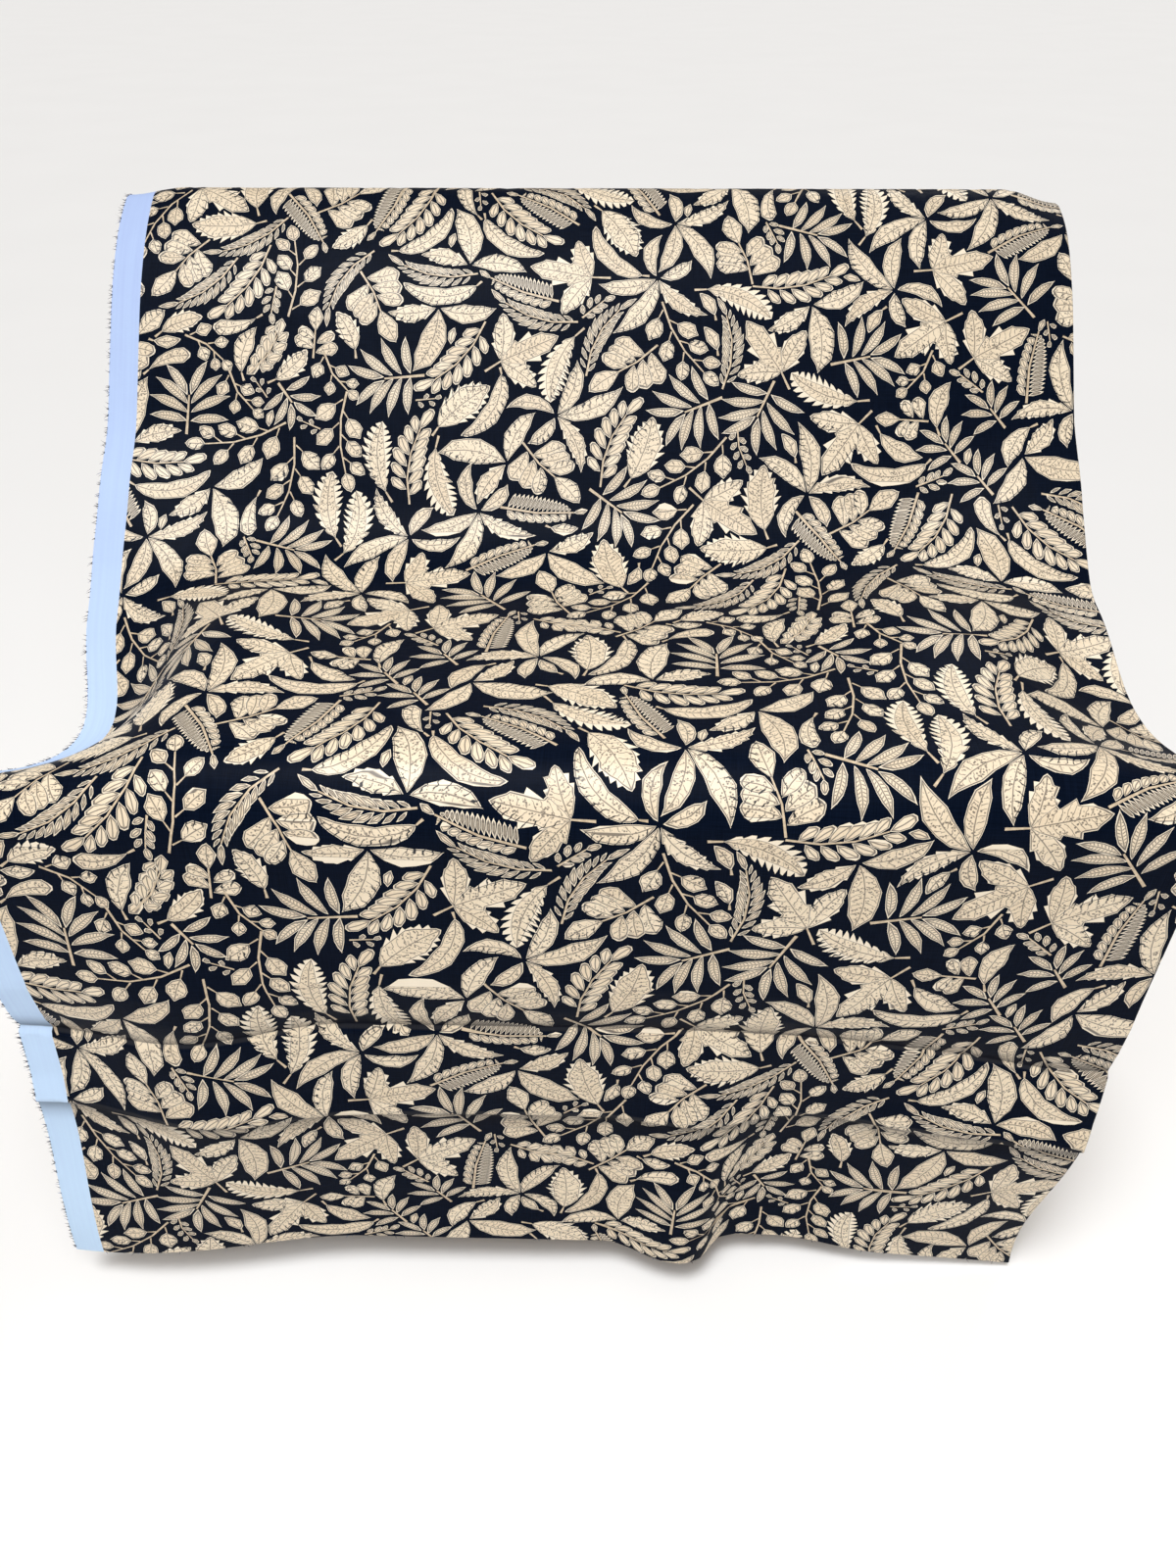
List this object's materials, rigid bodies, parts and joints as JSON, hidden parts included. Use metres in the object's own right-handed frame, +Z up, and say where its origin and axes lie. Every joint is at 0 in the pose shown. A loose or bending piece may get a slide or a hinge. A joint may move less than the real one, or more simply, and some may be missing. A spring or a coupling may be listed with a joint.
{
  "type": "printed cotton fabric draped on a wooden display rack",
  "caption": "Leaf-printed cotton cloth, doubled lengthwise and draped over the crest, seat and front bend of a plain wooden display rack.",
  "frame": {"origin": "middle of the base board's underside, on the surface that the rack stands on", "axes": "+X across the cloth to its folded edge, +Y away from the front drop, +Z up"},
  "size_m": [0.5641, 0.4083, 0.5086],
  "materials": {
    "cotton": "matt plain weave with a soft sheen, navy-black ground printed with tan leaves",
    "plywood": "satin clear-coated birch plywood",
    "beech": "satin turned beech"
  },
  "bodies": {
    "root": {"cloth": "cotton", "cheek_left": "plywood", "cheek_right": "plywood", "seat_board": "plywood", "rest_board": "plywood", "front_rail": "beech", "top_rail": "beech", "base_board": "plywood"}
  },
  "joints": []
}
